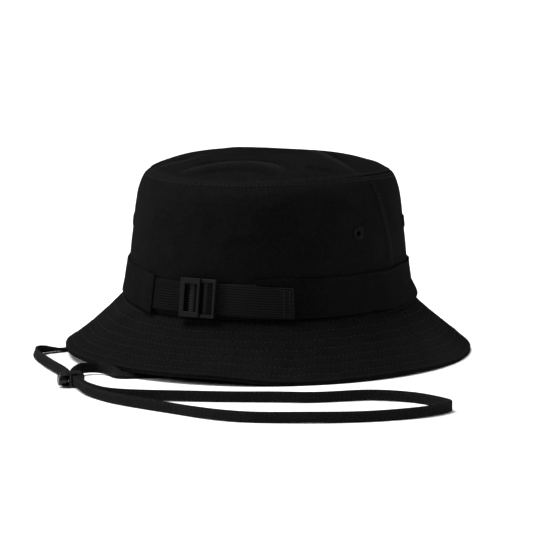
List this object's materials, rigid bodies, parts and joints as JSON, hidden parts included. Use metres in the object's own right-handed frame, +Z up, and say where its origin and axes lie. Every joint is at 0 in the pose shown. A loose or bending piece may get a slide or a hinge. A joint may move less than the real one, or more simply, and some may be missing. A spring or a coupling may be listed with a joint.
{
  "type": "bucket hat",
  "caption": "Bucket hat with a stitched oval brim, a webbing hatband with a slide buckle, sewn eyelets and a chin strap with a cord lock.",
  "frame": {"origin": "middle of the brim's outline, on the surface that the hat stands on", "axes": "+Z up, the wearer faces -Y, and +X is the wearer's left"},
  "size_m": [0.3297, 0.3767, 0.1323],
  "materials": {
    "cloth": "black cotton twill",
    "thread": "black sewing thread",
    "binding": "black bias tape",
    "sweatband": "black cotton tape",
    "interlining": "stiff interlining",
    "webbing": "black ribbed nylon webbing",
    "buckle_plastic": "satin black moulded plastic",
    "strap_cloth": "black cotton twill, folded and stitched",
    "lock_plastic": "polished black moulded plastic",
    "spring_steel": "bright spring wire"
  },
  "bodies": {
    "hat": {"crown_top": "cloth", "crown_front_panel": "cloth", "crown_back_panel": "cloth", "crown_top_binding": "binding", "side_seam_tape_left": "binding", "side_seam_tape_right": "binding", "eyelet_front_left": "thread", "eyelet_back_left": "thread", "eyelet_front_right": "thread", "eyelet_back_right": "thread", "hat_band": "cloth", "webbing_sewn_end": "webbing", "webbing_under_run": "webbing", "webbing_tail": "webbing", "brim_upper_front": "cloth", "brim_upper_back": "cloth", "brim_interlining_front": "interlining", "brim_interlining_back": "interlining", "brim_under_front": "cloth", "brim_under_back": "cloth", "sweatband": "sweatband", "strap_end_left": "strap_cloth", "strap_end_right": "strap_cloth", "chin_strap": "strap_cloth"},
    "buckle": {"buckle": "buckle_plastic", "webbing_buckle_loop": "webbing", "webbing_bar_wrap": "webbing"},
    "cord_lock": {"cord_lock_housing": "lock_plastic", "cord_lock_spring": "spring_steel"},
    "cord_lock_button": {"cord_lock_button": "lock_plastic"}
  },
  "joints": [
    {"name": "buckle_tilt", "type": "hinge", "parent": "hat", "child": "buckle", "pos_m": [-0.01565, -0.10015, 0.04827], "axis": [0, -0.145, -0.9894], "range_deg": [0, 30]},
    {"name": "cord_lock_slide", "type": "slide", "parent": "hat", "child": "cord_lock", "axis": [0.682, -0.7314, 0], "range_m": [0, 0.012]},
    {"name": "cord_lock_press", "type": "slide", "parent": "cord_lock", "child": "cord_lock_button", "axis": [0.7314, 0.682, 0], "range_m": [0, 0.0016], "stiffness_N_per_m": 1800, "deforming": ["cord_lock_spring"]}
  ]
}
